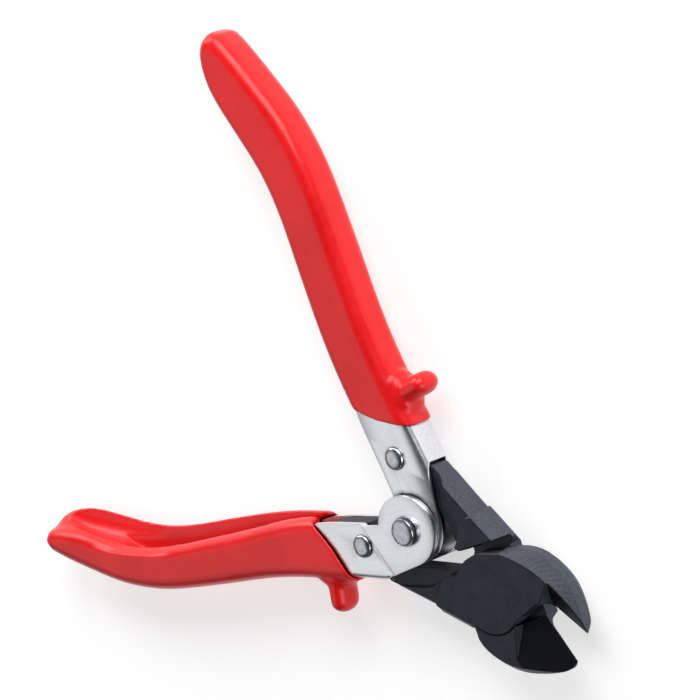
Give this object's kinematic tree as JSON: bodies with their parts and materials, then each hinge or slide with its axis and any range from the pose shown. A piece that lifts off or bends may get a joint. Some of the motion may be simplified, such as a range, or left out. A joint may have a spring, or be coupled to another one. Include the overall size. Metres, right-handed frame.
{
  "type": "diagonal cutting pliers",
  "caption": "Compound-lever diagonal cutting pliers with folded steel handles, dipped grips with thumb guards and a lapped cutting head, standing open.",
  "frame": {"origin": "centre of the rear face of the handle rivet, the lowest point of the tool", "axes": "+X along the tool axis towards the blades, +Y across the handles towards the upper handle, +Z out of the front face"},
  "size_m": [0.1677, 0.1698, 0.0179],
  "materials": {
    "nickel_steel": "bright nickel plate, faint grain",
    "rivet_steel": "polished",
    "black_steel": "blackened, satin, ground bright at the cutting edges",
    "red_pvc": "dipped, glossy with a fine speckle"
  },
  "bodies": {
    "upper_lever": {"upper_handle": "nickel_steel", "upper_grip": "red_pvc", "upper_tail_rivet": "rivet_steel", "hub_spacer": "nickel_steel"},
    "lower_lever": {"lower_handle": "nickel_steel", "lower_grip": "red_pvc", "lower_tail_rivet": "rivet_steel", "handle_rivet": "rivet_steel", "front_hub_washer": "nickel_steel", "rear_hub_washer": "nickel_steel"},
    "lower_cutter": {"lower_jaw": "black_steel", "jaw_pin": "black_steel"},
    "upper_cutter": {"upper_jaw": "black_steel"}
  },
  "joints": [
    {"name": "handle_pivot", "type": "hinge", "parent": "upper_lever", "child": "lower_lever", "pos_m": [0, 0, 0], "axis": [0, 0, 1], "range_deg": [-55.3, 0]},
    {"name": "lower_jaw_pivot", "type": "hinge", "parent": "upper_lever", "child": "lower_cutter", "pos_m": [-0.01202, 0.01432, 0], "axis": [0, 0, 1], "range_deg": [-18.15, 0]},
    {"name": "jaw_pivot", "type": "hinge", "parent": "lower_cutter", "child": "upper_cutter", "pos_m": [0.0305, 0, 0], "axis": [0, 0, 1], "range_deg": [-19, 0]}
  ],
  "couplings": [
    {"joint": "lower_jaw_pivot", "follows": "handle_pivot", "ratio": 0.3282},
    {"joint": "jaw_pivot", "follows": "handle_pivot", "ratio": 0.3435}
  ]
}
